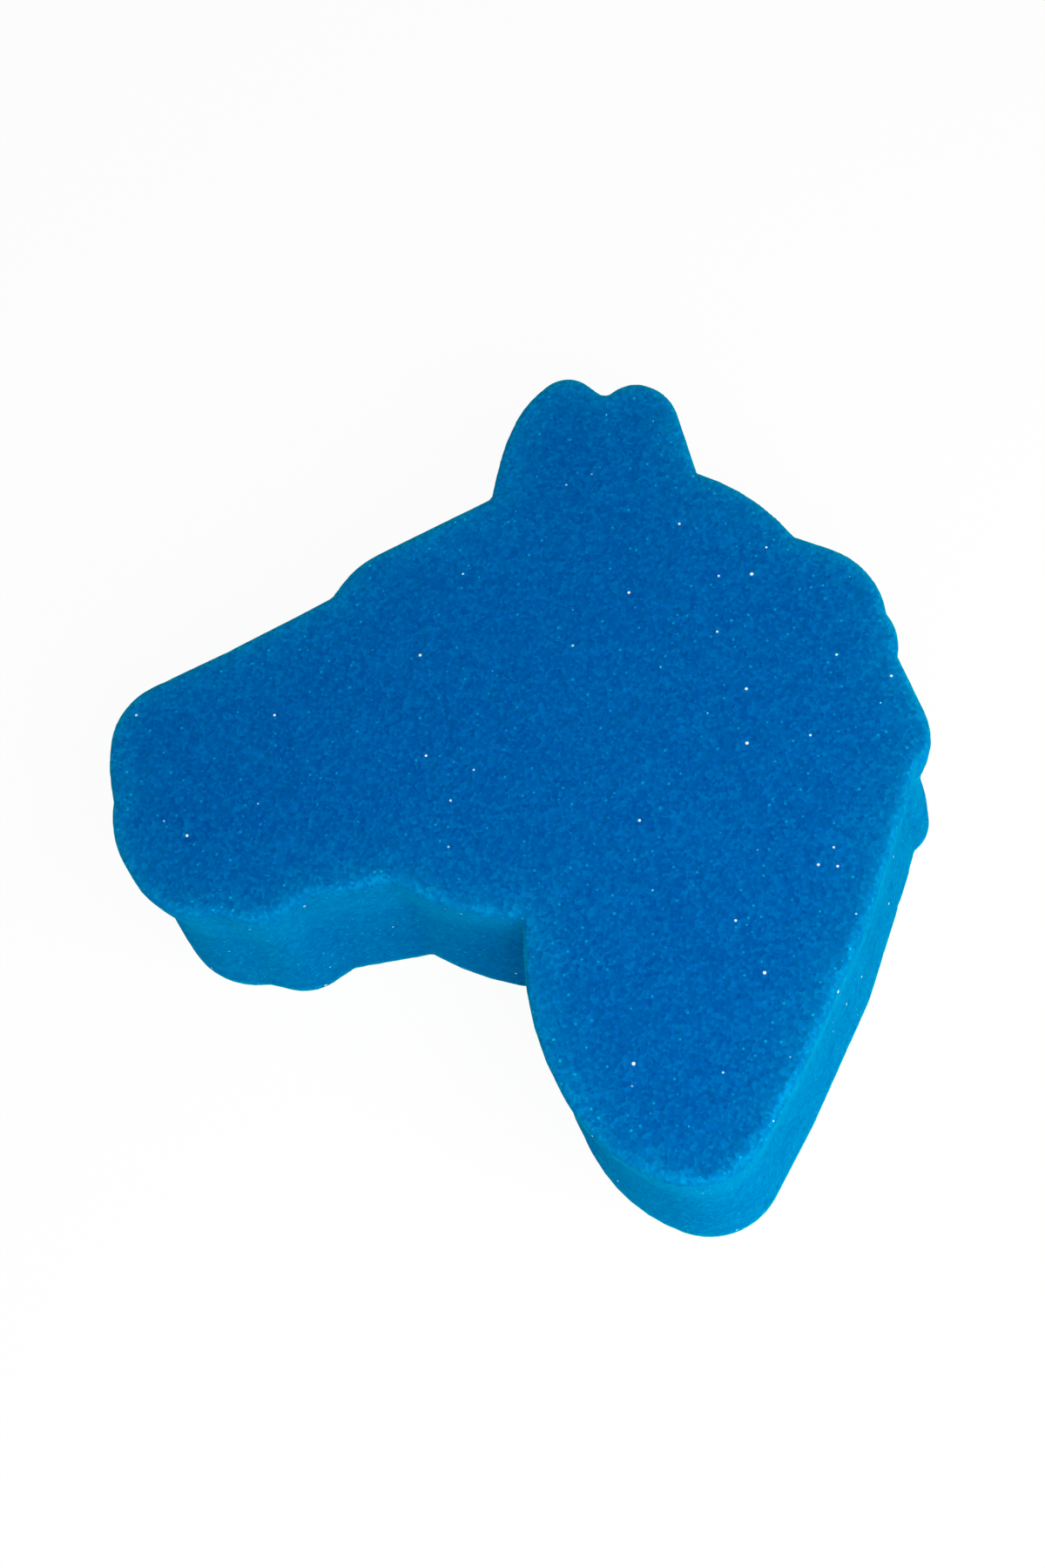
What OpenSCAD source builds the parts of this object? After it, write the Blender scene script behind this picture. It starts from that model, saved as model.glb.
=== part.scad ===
// Grooming sponge: one slab of open-cell foam, die-cut to a horse's head and neck in profile.
// The slab lies flat. +X runs from the muzzle to the mane, +Y from the neck to the ears, +Z is up.
// The origin is at the middle of the outline, on the face that the sponge lies on.

/* [Foam] */
// Thickness of the slab
thickness = 45; // [20:1:80]
// Rounding of the edges between the faces and the cut wall
edge_r = 1.5; // [0.5:0.1:3]
// Rounding of the sharp inner corners that the cutting blade leaves
nick_r = 1; // [0.8:0.1:3]
// How far the foam springs out past the blade's line at both faces
face_spread = 0.5; // [0:0.1:0.7]
// How far the cut wall is drawn in at its waist, because foam is squeezed under the blade
wall_hollow = 2.1; // [0:0.1:2.6]
// How far the waist lies above the middle of the thickness
waist_lift = 3.5; // [0:0.5:6]

/* [Muzzle] */
// Rounding of the top of the muzzle
muzzle_r = 14; // [6:1:16]
// From the top of the muzzle down to the nostril
nostril_drop = 14; // [8:0.5:20]
// From the nostril down to the mouth
mouth_drop = 8.5; // [7:0.5:14]
// How far the mouth lies behind the nostril
mouth_inset = 2.6; // [0.5:0.1:6]
// From the mouth down to the lower lip
lip_drop = 7.7; // [5.5:0.1:15.5]
// From the lower lip down to the chin
chin_drop = 18.6; // [12:0.2:29]
// How far the chin lies behind the lower lip
chin_back = 13.4; // [5.4:0.2:21.4]
// Rounding of the chin
chin_r = 18; // [6:1:22]

/* [Jaw] */
// Length of the chin, up to the dip behind it
chin_run = 11.5; // [8:0.5:18]
// Depth of the dip behind the chin
chin_dip = 1.5; // [0.2:0.1:4]
// Length of the lip lobe behind the dip
lobe_run = 18.5; // [12:0.5:26]
// Rise from the dip to the jaw bar
lobe_rise = 4; // [1:0.5:8]
// How far the lip lobe bulges down
lobe_bulge = 2.1; // [0.5:0.1:5]
// Length of the jaw bar
bar_run = 17.5; // [10:0.5:26]
// Rise of the jaw bar towards the cheek
bar_rise = 3.5; // [1:0.5:10]
// Length of the cheek, back to the throat
cheek_run = 27.5; // [18:0.5:40]
// Drop of the cheek towards the throat
cheek_drop = 7.7; // [2:0.1:16]
// How far the cheek bulges down
cheek_bulge = 1.6; // [0.3:0.1:5]

/* [Face] */
// Slope of the face from the muzzle up to the ears, in degrees
face_slope = 29; // [18:0.2:38]
// Length of the nose, from the top of the muzzle to the brow
nose_len = 50.8; // [35:0.2:70]
// Hollow of the nose line
nose_dip = 0.9; // [0.1:0.1:4]
// Length of the brow along the face
brow_run = 7.8; // [4:0.2:14]
// How far the brow stands out from the nose line
brow_step = 4.7; // [2:0.1:9]
// Rounding of the brow
brow_r = 19; // [6:1:24]
// Length of the forehead, from the brow to the ears
forehead_len = 32.5; // [22:0.5:45]

/* [Ears] */
// Set-back of the front ear's side from the base
side_x = 1.9; // [0.2:0.1:4]
// Height of the front ear's side
side_h = 14.5; // [8:0.5:18]
// Set-back of the front ear's shoulder
shoulder_x = 6.3; // [4:0.1:9]
// Height of the front ear's shoulder
shoulder_h = 25; // [22:0.5:28]
// Set-back of the front ear's tip
tip_x = 14.5; // [12:0.5:18]
// Height of the front ear's tip
tip_h = 32; // [29:0.5:42]
// Set-back of the notch between the ears
notch_x = 23.2; // [20:0.2:25]
// Height of the notch between the ears
notch_h = 24.6; // [12:0.2:27]
// Rounding of the notch between the ears
notch_r = 2.4; // [1:0.1:3]
// Set-back of the rear ear's tip from the notch
rear_tip_x = 4.8; // [2.8:0.1:7.8]
// Height of the rear ear's tip above the notch
rear_tip_h = 4.7; // [3.4:0.1:15.4]
// Set-back of the rear ear's shoulder from the notch
rear_shoulder_x = 13.8; // [10.8:0.5:15.8]
// Height of the rear ear's shoulder above the notch
rear_shoulder_h = 0.9; // [0:0.1:3.4]
// Set-back of the rear ear's foot from the notch
rear_foot_x = 20.3; // [17.8:0.5:32.8]
// Drop from the notch to the rear ear's foot
rear_foot_drop = 19.4; // [12.6:0.2:24.6]

/* [Mane] */
// Length of the crest behind the ears
crest_run = 21; // [12:0.5:32]
// Drop of the crest
crest_drop = 16.2; // [8:0.2:26]
// How far the crest bulges out
crest_bulge = 1.9; // [0.3:0.1:5]
// Length of the mane
mane_run = 18.8; // [10:0.2:28]
// Drop of the mane
mane_drop = 18; // [10:0.5:26]
// How far the mane bulges out
mane_bulge = 3.3; // [1:0.1:6]
// How far the mane's bulge hangs behind its middle
mane_lean = 4.5; // [0:0.5:8]
// Length of the small tuft below the mane
tuft_run = 2.2; // [0.5:0.1:6]
// Drop of the small tuft
tuft_drop = 9.7; // [6:0.1:14]
// How far the small tuft bulges out
tuft_bulge = 1; // [0.2:0.1:3]
// How far the large lock reaches past the small tuft
lock_reach = 6.6; // [4.6:0.2:14]
// Drop from the small tuft to the lock's fullest point
lock_drop = 15.5; // [9:0.5:18]
// Drop from the small tuft to the lock's lower tip
lock_tip_drop = 22; // [20:0.5:24]
// How far the lock's root lies past the small tuft
root_reach = 3.5; // [0:0.5:5]
// Drop from the small tuft to the lock's root
root_drop = 25; // [23.5:0.5:34]

/* [Neck] */
// Set-back of the neck's front below the throat
front_x = 2.1; // [0:0.1:8]
// Drop from the throat to the neck's front
front_drop = 22.5; // [14:0.5:32]
// Set-back of the front corner at the neck's end
toe_x = 17.6; // [12:0.2:26]
// Drop from the throat to the front corner at the neck's end
toe_drop = 47.5; // [38:0.5:60]
// Set-back of the rear corner at the neck's end
heel_x = 42; // [34:0.5:54]
// Drop from the throat to the rear corner at the neck's end
heel_drop = 55.3; // [46:0.1:70]
// How far the back of the neck bulges out
nape_bulge = 2.5; // [0.3:0.1:6]
// How far the nape's bulge lies above the middle of the neck
nape_lift = 12; // [0:1:20]

/* [Hidden] */
foam_blue = "#055fab";

// Largest turn between two points of an arc, in degrees
arc_step = 8;
// Steps in the rounding of an edge
edge_steps = 3;
// Steps in the hollow of the wall, below its waist and again above it
hollow_steps = 3;
// Room between the hollow and the inner side of the band that is drawn round the flat faces
band_room = 0.4;
// Shortest straight piece that is drawn between two arcs
least_straight = 0.01;
// Grid of the seam round the flat faces: a power of two, which no later rounding moves
seam_grid = 1 / 4096;

// Corner between p and q of a stretch that bulges to its left, with the bulge moved along by lean
function bow(p, q, bulge, lean = 0) =
    let (chord = q - p, run = norm(chord), along = chord / run, out = [-along.y, along.x])
    (p + q) / 2 + lean * along + run / 2 * tan(2 * atan(2 * bulge / run)) * out;

// Face line, from the top of the muzzle to the ears
face = [cos(face_slope), sin(face_slope)];
face_out = [-face.y, face.x];
muzzle_top = [0, 0];
brow_foot = muzzle_top + nose_len * face;
nose_mid = (muzzle_top + brow_foot) / 2 - nose_dip * face_out;
brow = brow_foot + brow_run * face + brow_step * face_out;
ear_base = brow + forehead_len * face;

// Ears: the front one is set out from its foot, the rear one from the notch between them
ear_side = ear_base + [side_x, side_h];
ear_shoulder = ear_base + [shoulder_x, shoulder_h];
ear_tip = ear_base + [tip_x, tip_h];
ear_notch = ear_base + [notch_x, notch_h];
rear_tip = ear_notch + [rear_tip_x, rear_tip_h];
rear_shoulder = ear_notch + [rear_shoulder_x, rear_shoulder_h];
ear_back = ear_notch + [rear_foot_x, -rear_foot_drop];

// Crest, mane, tuft and lock, each from the end of the one above
crest_end = ear_back + [crest_run, -crest_drop];
mane_end = crest_end + [mane_run, -mane_drop];
tuft_end = mane_end + [tuft_run, -tuft_drop];
lock = tuft_end + [lock_reach, -lock_drop];
lock_tip = tuft_end + [lock_reach, -lock_tip_drop];
lock_root = tuft_end + [root_reach, -root_drop];

// Muzzle and jaw, each corner down and back from the one before
nostril = muzzle_top + [0, -nostril_drop];
mouth = nostril + [mouth_inset, -mouth_drop];
lip = mouth + [0, -lip_drop];
chin = lip + [chin_back, -chin_drop];
dip = chin + [chin_run, chin_dip];
bar = dip + [lobe_run, lobe_rise];
jaw_groove = bar + [bar_run, bar_rise];
throat = jaw_groove + [cheek_run, -cheek_drop];

// Neck, set out from the throat
neck_front = throat + [front_x, -front_drop];
toe = throat + [toe_x, -toe_drop];
heel = throat + [heel_x, -heel_drop];

// Corners of the outline, clockwise from the muzzle, each with its rounding; 0 is as round as fits
corners = [
    [muzzle_top, muzzle_r],
    [nose_mid, 0],
    [brow_foot, nick_r],
    [brow, brow_r],
    [ear_base, nick_r],
    [ear_side, 0],
    [ear_shoulder, 0],
    [ear_tip, 0],
    [ear_notch, notch_r],
    [rear_tip, 0],
    [rear_shoulder, 0],
    [ear_back, nick_r],
    [bow(ear_back, crest_end, crest_bulge), 0],
    [crest_end, nick_r],
    [bow(crest_end, mane_end, mane_bulge, mane_lean), 0],
    [mane_end, nick_r],
    [bow(mane_end, tuft_end, tuft_bulge), 0],
    [tuft_end, nick_r],
    [lock, 0],
    [lock_tip, 0],
    [lock_root, nick_r],
    [bow(lock_root, heel, nape_bulge, -nape_lift), 0],
    [heel, 0],
    [toe, 0],
    [neck_front, 0],
    [throat, nick_r],
    [bow(throat, jaw_groove, cheek_bulge), 0],
    [jaw_groove, nick_r],
    [bar, nick_r],
    [bow(bar, dip, lobe_bulge), 0],
    [dip, 0],
    [chin, chin_r],
    [lip, 0],
    [mouth, nick_r],
    [nostril, 0],
];
last = len(corners) - 1;

// Place of corner i, counted round the closed outline
function place(i) = corners[(i + last + 1) % (last + 1)][0];

// Rounding that corner i asks for
function asked_r(i) = corners[(i + last + 1) % (last + 1)][1];

// Unit vector from corner i to corner j
function way(i, j) = (place(j) - place(i)) / norm(place(j) - place(i));

// Turn of the outline at corner i, positive to the right
function bend(i) =
    let (u = way(i - 1, i), v = way(i, i + 1))
    atan2(u.y * v.x - u.x * v.y, u * v);

// Length of a side that the rounding of corner i may take: all that a nick leaves, or half
function room(i, j) =
    let (side = norm(place(j) - place(i)))
    asked_r(j) > 0 ? side - asked_r(j) * tan(abs(bend(j)) / 2) : side / 2;

// Distance from corner i to where its rounding starts
function tangent(i) =
    asked_r(i) > 0 ? asked_r(i) * tan(abs(bend(i)) / 2) : min(room(i, i - 1), room(i, i + 1));

// Arc at corner i as centre, radius, first angle, turn and side: 1 outward, -1 inward
function corner_arc(i) =
    let (
        u = way(i - 1, i),
        turn = bend(i),
        side = sign(turn),
        r = tangent(i) / tan(abs(turn) / 2),
        start = place(i) - tangent(i) * u,
        centre = start + side * r * [u.y, -u.x],
        from = start - centre
    )
    [centre, r, atan2(from.y, from.x), turn, side];

// Whether the arc at corner i starts where the arc before it ends
function joined(i) = norm(place(i) - place(i - 1)) - tangent(i) - tangent(i - 1) < least_straight;

arcs = [for (i = [0:last]) corner_arc(i)];
first_points = [for (i = [0:last]) joined(i) ? 1 : 0];

// Points of the outline moved inward by inset: every arc keeps its centre
function outline(inset) = [
    for (i = [0:last])
        let (arc = arcs[i], steps = max(2, ceil(abs(arc[3]) / arc_step)))
            for (k = [first_points[i]:steps])
                let (angle = arc[2] - arc[3] * k / steps)
                    arc[0] + (arc[1] - arc[4] * inset) * [cos(angle), sin(angle)]
];

// Middle of the outline's box, at its widest
cut = outline(-face_spread);
xs = [for (p = cut) p.x];
ys = [for (p = cut) p.y];
middle = [min(xs) + max(xs), min(ys) + max(ys)] / 2;

// Wall between its soft edges as inset and height: hollow in a smooth wave, deepest at the waist
wall_low = edge_r;
wall_high = thickness - edge_r;
waist_height = thickness / 2 + waist_lift;
levels = [for (k = [-hollow_steps:hollow_steps]) k / hollow_steps];
wall = [
    for (u = levels)
        [
            wall_hollow * (1 + cos(180 * u)) / 2,
            u < 0
                ? waist_height + u * (waist_height - wall_low)
                : waist_height + u * (wall_high - waist_height)
        ]
];

// Sections through the slab as inset and height, from the lower face to the upper one
edge_angles = [for (k = [0:edge_steps - 1]) 90 * k / edge_steps];
lower_edge = [for (a = edge_angles) edge_r * [1 - sin(a), 1 - cos(a)]];
upper_edge = [for (s = lower_edge) [s.x, thickness - s.y]];
band_inset = max(edge_r, wall_hollow) + band_room;
round_outside = concat(lower_edge, wall, [for (k = [edge_steps - 1:-1:0]) upper_edge[k]]);
all_round = concat([[band_inset, 0]], round_outside, [[band_inset, thickness]]);
sections = [for (s = all_round) s - [face_spread, 0]];

// Outline moved inward by inset, about the middle of its box
function centred(inset) = [for (p = outline(inset)) p - middle];

// Seam where the band meets the flat faces, with the same points on both sides
seam_inset = sections[0].x;
seam = [for (p = centred(seam_inset)) [for (v = p) round(v / seam_grid) * seam_grid]];

// Ring of the band at a section: the seam at its inner side
function ring(s) = [for (p = s.x == seam_inset ? seam : centred(s.x)) [p.x, p.y, s.y]];

// Closed band through outlines that share a count of points, the last joined to the first
module band(rings) {
    n = len(rings[0]);
    m = len(rings);
    faces = [
        for (j = [0:m - 1], i = [0:n - 1])
            let (up = (j + 1) % m, next = (i + 1) % n)
                [j * n + i, j * n + next, up * n + next, up * n + i]
    ];
    polyhedron([for (ring = rings) each ring], faces);
}

// The foam slab: flat faces, and round them a band with the soft edges and the hollow cut wall
module sponge() {
    color(foam_blue)
        union() {
            linear_extrude(thickness) polygon(seam);
            band([for (s = sections) ring(s)]);
        }
}

sponge();
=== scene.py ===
import math

import bmesh
import bpy
from mathutils import Matrix, Vector, kdtree, noise


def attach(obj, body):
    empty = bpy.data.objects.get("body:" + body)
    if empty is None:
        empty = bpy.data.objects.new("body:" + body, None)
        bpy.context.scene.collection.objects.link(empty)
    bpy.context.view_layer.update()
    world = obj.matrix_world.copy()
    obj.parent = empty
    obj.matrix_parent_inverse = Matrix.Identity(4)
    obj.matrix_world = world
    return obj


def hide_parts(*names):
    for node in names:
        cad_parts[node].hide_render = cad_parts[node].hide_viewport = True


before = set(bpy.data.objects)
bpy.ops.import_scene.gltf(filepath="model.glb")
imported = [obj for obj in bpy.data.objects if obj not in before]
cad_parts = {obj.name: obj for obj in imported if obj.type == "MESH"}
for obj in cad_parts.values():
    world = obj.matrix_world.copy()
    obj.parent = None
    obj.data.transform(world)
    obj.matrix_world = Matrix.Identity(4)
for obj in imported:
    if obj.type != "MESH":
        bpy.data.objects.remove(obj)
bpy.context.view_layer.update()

# The sponge is one slab of soft open-cell polyurethane foam, dyed blue right through.
# It is sawn flat on both faces and die-cut under pressure, so the cells lie open on every side
# and the wall springs back hollow. Nothing is glued or sewn to it.
VOXEL = 0.00086
WELD = 1e-6
GRAIN_SIZE = 0.0019
GRAIN_DEPTH = 0.00010
PIT_SPACING = 0.0046
PIT_RADIUS = 0.0011
PIT_DEPTH = 0.00035
WALL_CALM = 0.25
EDGE_FROM = 0.35
EDGE_TO = 0.9
EDGE_CALM = 0.6
EDGE_REACH = 0.002

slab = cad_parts["sponge"]
mesh = slab.data.copy()
mesh.materials.clear()
foam = bpy.data.objects.new("foam_slab", mesh)
bpy.context.collection.objects.link(foam)

# Even out the mesh, and lay it back on the slab's own surface
welder = bmesh.new()
welder.from_mesh(mesh)
bmesh.ops.remove_doubles(welder, verts=welder.verts, dist=WELD)
welder.to_mesh(mesh)
welder.free()
remesh = foam.modifiers.new("even_cells", "REMESH")
remesh.mode = "VOXEL"
remesh.voxel_size = VOXEL
wrap = foam.modifiers.new("true_form", "SHRINKWRAP")
wrap.target = slab
wrap.wrap_method = "NEAREST_SURFACEPOINT"
depsgraph = bpy.context.evaluated_depsgraph_get()
even = bpy.data.meshes.new_from_object(foam.evaluated_get(depsgraph))
foam.modifiers.clear()
foam.data = even
even.name = "foam_slab"

# Mark the cut wall, and how far each point lies from the soft edge between a face and the wall
normals = [v.normal.copy() for v in even.vertices]
cut_wall = even.attributes.new("cut_wall", "FLOAT", "POINT")
cut_wall.data.foreach_set("value", [1 - abs(n.z) for n in normals])
edge = [v.co for v, n in zip(even.vertices, normals) if EDGE_FROM < abs(n.z) < EDGE_TO]
edges = kdtree.KDTree(len(edge))
for i, point in enumerate(edge):
    edges.insert(point, i)
edges.balance()
gaps = [edges.find(v.co)[2] for v in even.vertices]
from_edge = even.attributes.new("from_edge", "FLOAT", "POINT")
from_edge.data.foreach_set("value", gaps)

# Rough every point along its own normal: fine grain, and open pits where a large cell was cut
for vert, normal, gap in zip(even.vertices, normals, gaps):
    rough = 1 - WALL_CALM * (1 - abs(normal.z)) - EDGE_CALM * max(0.0, 1 - gap / EDGE_REACH)
    grain = noise.noise(vert.co / GRAIN_SIZE) * GRAIN_DEPTH
    reach = noise.voronoi(vert.co / PIT_SPACING)[0][0] * PIT_SPACING
    pit = PIT_DEPTH * max(0.0, 1 - (reach / PIT_RADIUS) ** 2)
    vert.co += normal * (grain - pit) * rough
for face in even.polygons:
    face.use_smooth = True


class Socket:
    """A shader value that takes part in sums, so that a finish reads as arithmetic."""

    tree = None

    def __init__(self, link):
        self.link = link

    @classmethod
    def node(cls, kind, settings=(), out=0, **sockets):
        """Any node: its settings first, then values or links for its sockets by name or number."""
        made = cls.tree.nodes.new(kind)
        for key, value in dict(settings).items():
            setattr(made, key, value)
        for key, value in sockets.items():
            name = key.replace("_", " ")
            taker = made.inputs[int(name)] if name.isdigit() else made.inputs[name]
            if isinstance(value, Socket):
                cls.tree.links.new(value.link, taker)
            else:
                taker.default_value = value
        return cls(made.outputs[out])

    def maths(self, operation, *others):
        takers = {str(i): value for i, value in enumerate((self, *others))}
        return Socket.node("ShaderNodeMath", {"operation": operation}, **takers)

    def __add__(self, other):
        return self.maths("ADD", other)

    __radd__ = __add__

    def __mul__(self, other):
        return self.maths("MULTIPLY", other)

    __rmul__ = __mul__

    def __rsub__(self, other):
        return self * -1 + other

    def __pow__(self, other):
        return self.maths("POWER", other)

    def step(self, low, high):
        """0 below low, 1 above high, smooth between."""
        return Socket.node(
            "ShaderNodeMapRange", {"interpolation_type": "SMOOTHSTEP"},
            Value=self, From_Min=low, From_Max=high,
        )

    def mix(self, first, second):
        """Colour first where this is 0, second where it is 1."""
        ends = [c if isinstance(c, Socket) else (*c, 1) for c in (first, second)]
        return Socket.node(
            "ShaderNodeMix", {"data_type": "RGBA"}, out=2,
            **{"0": self, "6": ends[0], "7": ends[1]},
        )

    def times(self, other):
        """Two colours multiplied, channel by channel."""
        return Socket.node(
            "ShaderNodeMix", {"data_type": "RGBA", "blend_type": "MULTIPLY"}, out=2,
            **{"0": 1.0, "6": self, "7": other},
        )


# The finish: lengths in metres, shares from 0 to 1, colours and tints as linear red, green and blue
CELL = 0.00075
CELL_POWER = 2.2
CELL_SHARE = 0.48
CELL_DEPTH = CELL * 0.5
CELL_RELIEF = 0.8
CLOUD = 0.006
CLOUD_DETAIL = 3.0
CLOUD_RANGE = (0.3, 0.8)
CLOUD_SHARE = 0.12
WALL_RANGE = (0.0, 0.7)
WALL_LIGHT_LIFT = 0.08
PORE_RANGE = (0.03, 0.16)
PORE_SHARE = 0.3
CYAN_SPACING = 0.0027
CYAN_RADIUS = 0.00040
CYAN_REACH = CYAN_RADIUS / CYAN_SPACING
CYAN_CORE = 0.35
CYAN_SHARE = 0.6
GLINT_SPACING = 0.0049
GLINT_RADIUS = 0.00046
GLINT_REACH = GLINT_RADIUS / GLINT_SPACING
GLINT_LEAST = 0.3
GLINT_CORE = 0.5
GLINT_WHITE = (0.25, 0.7)
# The edge and wall tints below paint light, the pore blue paints shade, and the cyan and glint
# colours paint highlights
EDGE_GLOW = 0.0052
DEEP_BLUE = (0.0, 0.090, 0.375)
PALE_BLUE = (0.0, 0.196, 0.580)
PORE_SHADE_BLUE = (0.0, 0.062, 0.290)
SPECK_HIGHLIGHT_CYAN = (0.0, 0.42, 0.78)
FAINT_GLINT = (0.03, 0.72, 0.95)
WHITE_GLINT = (0.85, 1.0, 1.0)
NO_TINT = (1.0, 1.0, 1.0)
WALL_LIGHT_TINT = (1.0, 1.09, 0.88)
EDGE_GLOW_TINT = (1.0, 1.52, 1.12)
FOAM_SHADER = {
    "Roughness": 0.85,
    "Specular IOR Level": 0.0,
    "Subsurface Weight": 0.8,
    "Subsurface Radius": (0.3, 1.6, 0.8),
    "Subsurface Scale": 0.007,
    "Sheen Weight": 0.15,
    "Sheen Roughness": 0.5,
    "Sheen Tint": (0.0, 0.6, 0.9, 1.0),
}

finish = bpy.data.materials.new("blue_foam")
finish.use_nodes = True
Socket.tree = finish.node_tree
surface = finish.node_tree.nodes["Principled BSDF"]
where = Socket.node("ShaderNodeTexCoord", out=3)

# Calmer grain on the cut wall
on_wall = Socket.node("ShaderNodeAttribute", {"attribute_name": "cut_wall"}, out=2)
wall = on_wall.step(*WALL_RANGE)
calm = 1 - wall * WALL_CALM

# Every cell has its own tone, some cells are painted darker as painted shade for the hollow of an
# open pore, broad clouds lie over them, and the cut wall gets a small painted lift for the light it
# catches
cells = Socket.node("ShaderNodeTexVoronoi", Vector=where, Scale=1 / CELL)
cell_colour = Socket.node("ShaderNodeTexVoronoi", out=1, Vector=where, Scale=1 / CELL)
tone = Socket.node("ShaderNodeSeparateColor", Color=cell_colour)
cloud = Socket.node("ShaderNodeTexNoise", Vector=where, Scale=1 / CLOUD, Detail=CLOUD_DETAIL)
light_cells = (
    tone ** CELL_POWER * CELL_SHARE * calm
    + wall * WALL_LIGHT_LIFT
    + cloud.step(*CLOUD_RANGE) * CLOUD_SHARE
)
pore_shade = (1 - tone.step(*PORE_RANGE)) * calm * PORE_SHARE
body = pore_shade.mix(light_cells.mix(DEEP_BLUE, PALE_BLUE), PORE_SHADE_BLUE)

# Painted highlights: small cyan specks stand in for light caught where a cell's skin faces the
# lamps
speck = Socket.node("ShaderNodeTexVoronoi", Vector=where, Scale=1 / CYAN_SPACING)
cyan = 1 - speck.step(CYAN_CORE * CYAN_REACH, CYAN_REACH)
with_painted_specks = (cyan * calm * CYAN_SHARE).mix(body, SPECK_HIGHLIGHT_CYAN)

# Painted light: lighter and greener colour near the soft edges stands in for light leaking through
# the foam there, and a greener cast on the cut wall stands in for the stronger light the wall
# catches
away = Socket.node("ShaderNodeAttribute", {"attribute_name": "from_edge"}, out=2)
near = (away * (-1 / EDGE_GLOW)).maths("EXPONENT")
painted_edge_glow = near.mix(NO_TINT, EDGE_GLOW_TINT)
with_painted_light = with_painted_specks.times(wall.mix(painted_edge_glow, WALL_LIGHT_TINT))

# Painted glints: a few bright spots of uneven size stand in for light caught by cell skins, the
# small ones cyan and the large ones white
spark = Socket.node("ShaderNodeTexVoronoi", Vector=where, Scale=1 / GLINT_SPACING)
spark_colour = Socket.node("ShaderNodeTexVoronoi", out=1, Vector=where, Scale=1 / GLINT_SPACING)
chance = Socket.node("ShaderNodeSeparateColor", Color=spark_colour)
spark_reach = (chance * (1 - GLINT_LEAST) + GLINT_LEAST) * GLINT_REACH
glint = (1 - spark.step(spark_reach * GLINT_CORE, spark_reach)) * calm
colour = glint.mix(with_painted_light, chance.step(*GLINT_WHITE).mix(FAINT_GLINT, WHITE_GLINT))

relief = Socket.node(
    "ShaderNodeBump", Height=cells * calm, Strength=CELL_RELIEF, Distance=CELL_DEPTH,
)
finish.node_tree.links.new(colour.link, surface.inputs["Base Color"])
finish.node_tree.links.new(relief.link, surface.inputs["Normal"])
for name, value in FOAM_SHADER.items():
    surface.inputs[name].default_value = value
even.materials.clear()
even.materials.append(finish)

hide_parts("sponge")
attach(foam, "root")

# The sponge lies on a plain white table top, which runs out past the picture on every side.
# It looks white to the camera and keeps a faint soft shadow beside the foam.
TABLE = 3.0
TABLE_DROP = 0.0002
TABLE_GREY = 0.85
SHADOW_SHOWN = 0.05
WHITE = (1.0, 1.0, 1.0)


def seen_plainly():
    """1 where the background shows: straight to the camera, in a gloss or through glass."""
    rays = ("Is Camera Ray", "Is Glossy Ray", "Is Transmission Ray")
    seen, glossy, through = (Socket.node("ShaderNodeLightPath", out=ray) for ray in rays)
    return seen.maths("MAXIMUM", glossy).maths("MAXIMUM", through)


floor_mesh = bpy.data.meshes.new("table_top")
floor_mesh.from_pydata(
    [(-TABLE, -TABLE, 0), (TABLE, -TABLE, 0), (TABLE, TABLE, 0), (-TABLE, TABLE, 0)],
    [], [(0, 1, 2, 3)],
)
floor = bpy.data.objects.new("table_top", floor_mesh)
floor.location.z = -TABLE_DROP
bpy.context.collection.objects.link(floor)
paint = bpy.data.materials.new("white_table")
paint.use_nodes = True
Socket.tree = paint.node_tree
Socket.tree.nodes.clear()
matte = Socket.node("ShaderNodeBsdfDiffuse", Color=(TABLE_GREY, TABLE_GREY, TABLE_GREY, 1))
glow = Socket.node("ShaderNodeEmission", Color=(*WHITE, 1), Strength=1.0)
top = Socket.node(
    "ShaderNodeMixShader",
    **{"0": seen_plainly() * (1 - SHADOW_SHOWN), "1": matte, "2": glow},
)
end = Socket.tree.nodes.new("ShaderNodeOutputMaterial")
Socket.tree.links.new(top.link, end.inputs["Surface"])
floor_mesh.materials.append(paint)

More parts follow.
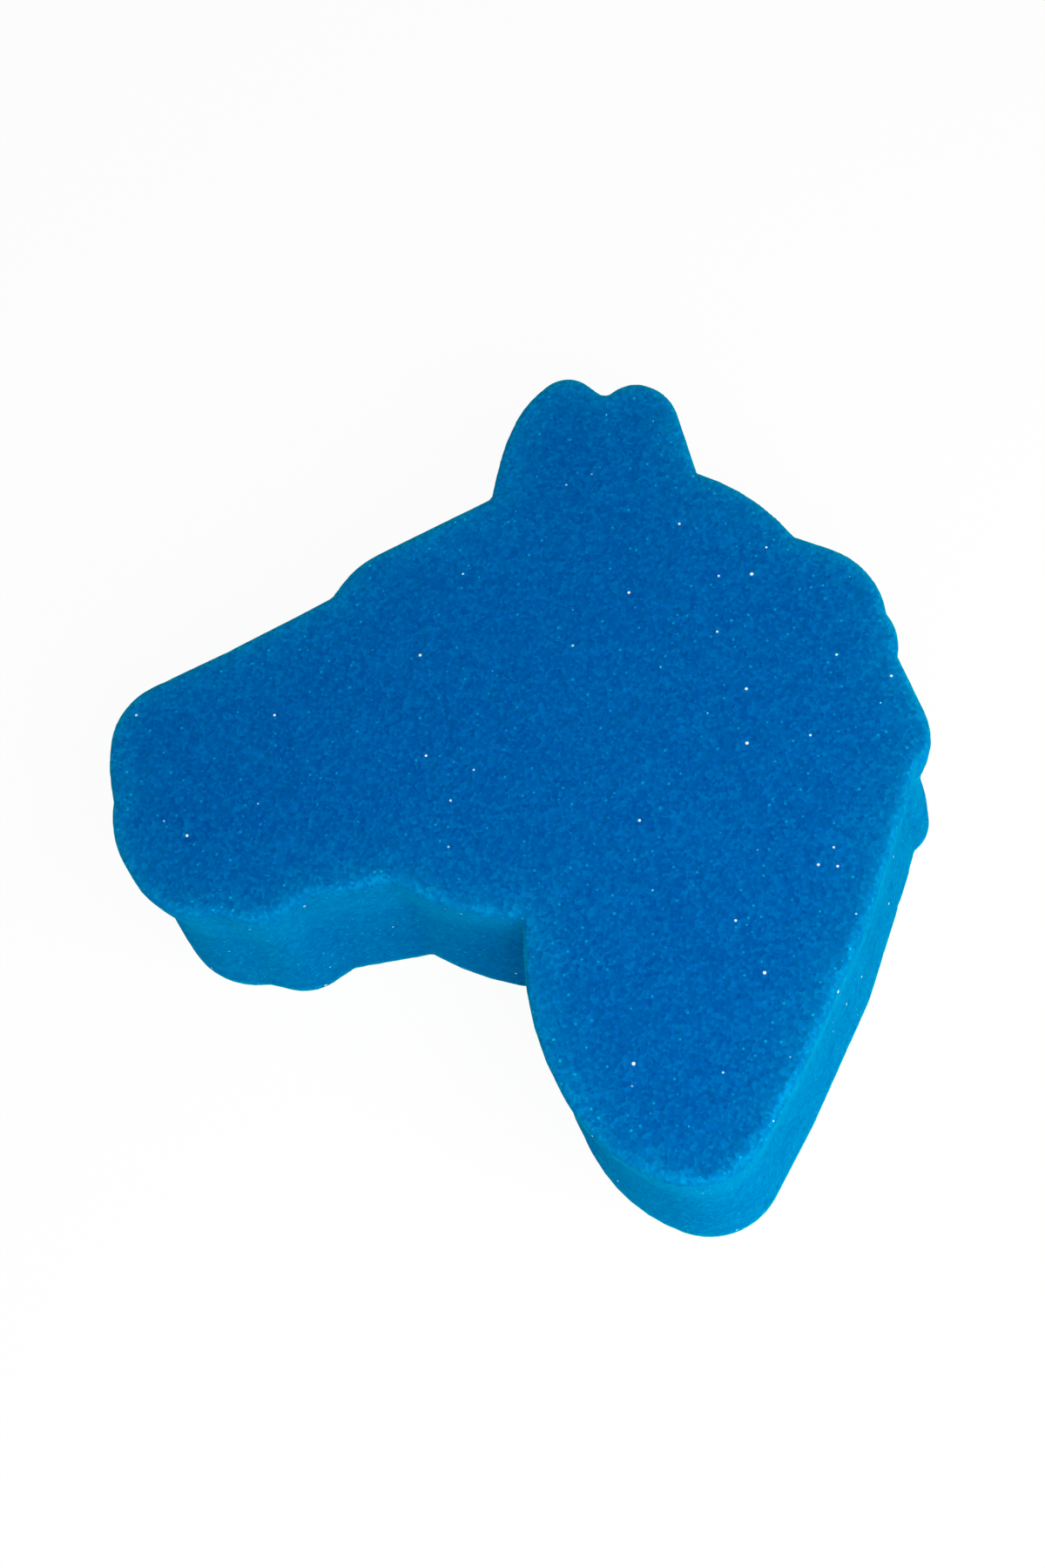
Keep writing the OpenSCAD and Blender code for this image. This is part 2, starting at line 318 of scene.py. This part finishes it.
# Soft studio light: a large lamp in front on the right, a weak one on the right,
# a faint cool one in front, and a dim cool surround that only lifts the shadows.
# Each lamp has its turn from the neck's side towards the mane, its rise, watts and colour.
LAMP_SIZE = 0.45
LAMP_REACH = 0.58
LAMPS = {
    "key": (46, 47, 3.75, (1.0, 1.0, 0.81)),
    "side": (100, 32, 0.35, (1.0, 1.0, 0.75)),
    "front": (8, 47, 0.85, (0.85, 0.92, 1.0)),
}
SURROUND = 0.27
SURROUND_COLOUR = (0.7, 0.85, 1.0)

for name, (turn, rise, watts, lamp_colour) in LAMPS.items():
    lamp = bpy.data.lights.new(name + "_lamp", "AREA")
    lamp.shape = "SQUARE"
    lamp.size = LAMP_SIZE
    lamp.energy = watts
    lamp.color = lamp_colour
    turn, rise = math.radians(turn), math.radians(rise)
    level = math.cos(rise)
    aim = Vector((math.sin(turn) * level, -math.cos(turn) * level, math.sin(rise)))
    holder = bpy.data.objects.new(name + "_lamp", lamp)
    holder.location = aim * LAMP_REACH
    holder.rotation_euler = (-aim).to_track_quat("-Z", "Y").to_euler()
    bpy.context.collection.objects.link(holder)

world = bpy.data.worlds.new("surround")
world.use_nodes = True
bpy.context.scene.world = world
Socket.tree = world.node_tree
sky = world.node_tree.nodes["Background"]
backdrop = seen_plainly()
sky_colour = backdrop.mix(SURROUND_COLOUR, WHITE)
sky_strength = backdrop * (1 - SHADOW_SHOWN - SURROUND) + SURROUND
world.node_tree.links.new(sky_colour.link, sky.inputs["Color"])
world.node_tree.links.new(sky_strength.link, sky.inputs["Strength"])

# The camera stands above the neck and looks down on the face, turned so that the ears point up.
# It has a normal lens, and its own axes are set out from its right and forward directions.
EYE = Vector((0.07957, -0.18399, 0.4411))
RIGHT = Vector((0.985, 0.0682, -0.1578)).normalized()
FORWARD = Vector((-0.1718, 0.3991, -0.9004)).normalized()
LENS = 50
SENSOR = 36
NEAREST = 0.01

lens = bpy.data.cameras.new("camera")
lens.lens = LENS
lens.sensor_width = SENSOR
lens.clip_start = NEAREST
camera = bpy.data.objects.new("camera", lens)
back = -FORWARD
across = (RIGHT - RIGHT.dot(back) * back).normalized()
facing = Matrix((across, back.cross(across), back)).transposed()
camera.matrix_world = Matrix.Translation(EYE) @ facing.to_4x4()
bpy.context.collection.objects.link(camera)
bpy.context.scene.camera = camera
bpy.context.scene.view_settings.view_transform = "Standard"

bpy.context.view_layer.update()
